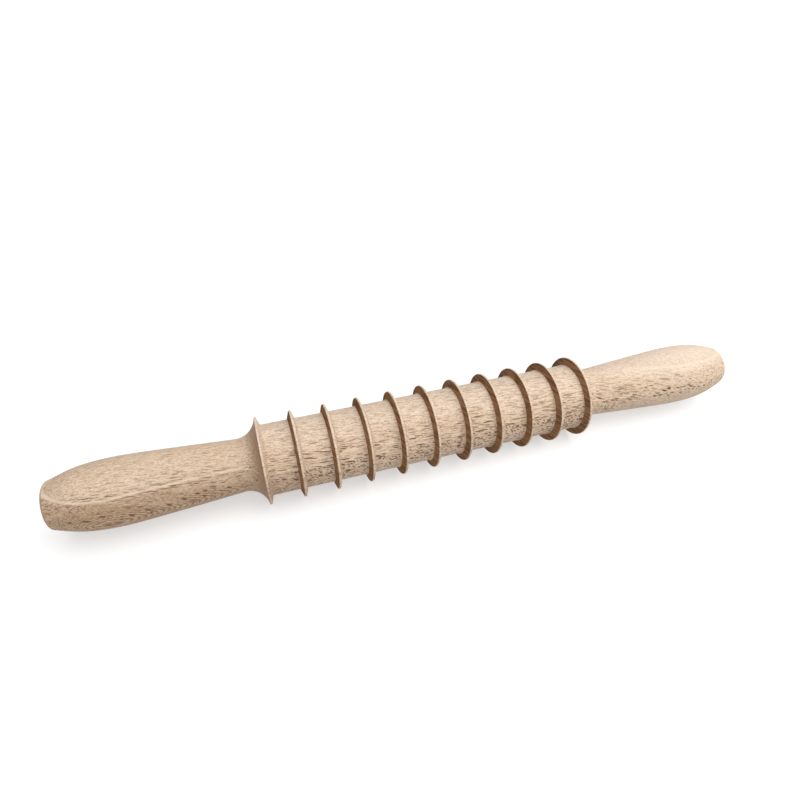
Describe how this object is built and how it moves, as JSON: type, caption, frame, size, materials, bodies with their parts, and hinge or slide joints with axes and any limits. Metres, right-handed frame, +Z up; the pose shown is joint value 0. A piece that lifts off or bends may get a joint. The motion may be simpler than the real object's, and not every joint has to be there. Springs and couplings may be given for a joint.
{
  "type": "pasta cutter rolling pin",
  "caption": "Turned beech rolling pin with thin wedge-edged discs along its body that cut a sheet of dough into even ribbons, and a tapered handle at each end.",
  "frame": {"origin": "middle of the pin, on its turning axis", "axes": "+X along the pin towards the right handle, +Z up"},
  "size_m": [0.32, 0.0384, 0.0384],
  "materials": {
    "beech": "bare fine-sanded beech, unvarnished, with short dark flecks along the grain"
  },
  "bodies": {
    "root": {"core": "beech", "left_handle": "beech", "right_handle": "beech", "cutting_disc_02": "beech", "cutting_disc_03": "beech", "cutting_disc_04": "beech", "cutting_disc_05": "beech", "cutting_disc_06": "beech", "cutting_disc_07": "beech", "cutting_disc_08": "beech", "cutting_disc_09": "beech", "cutting_disc_10": "beech"}
  },
  "joints": []
}
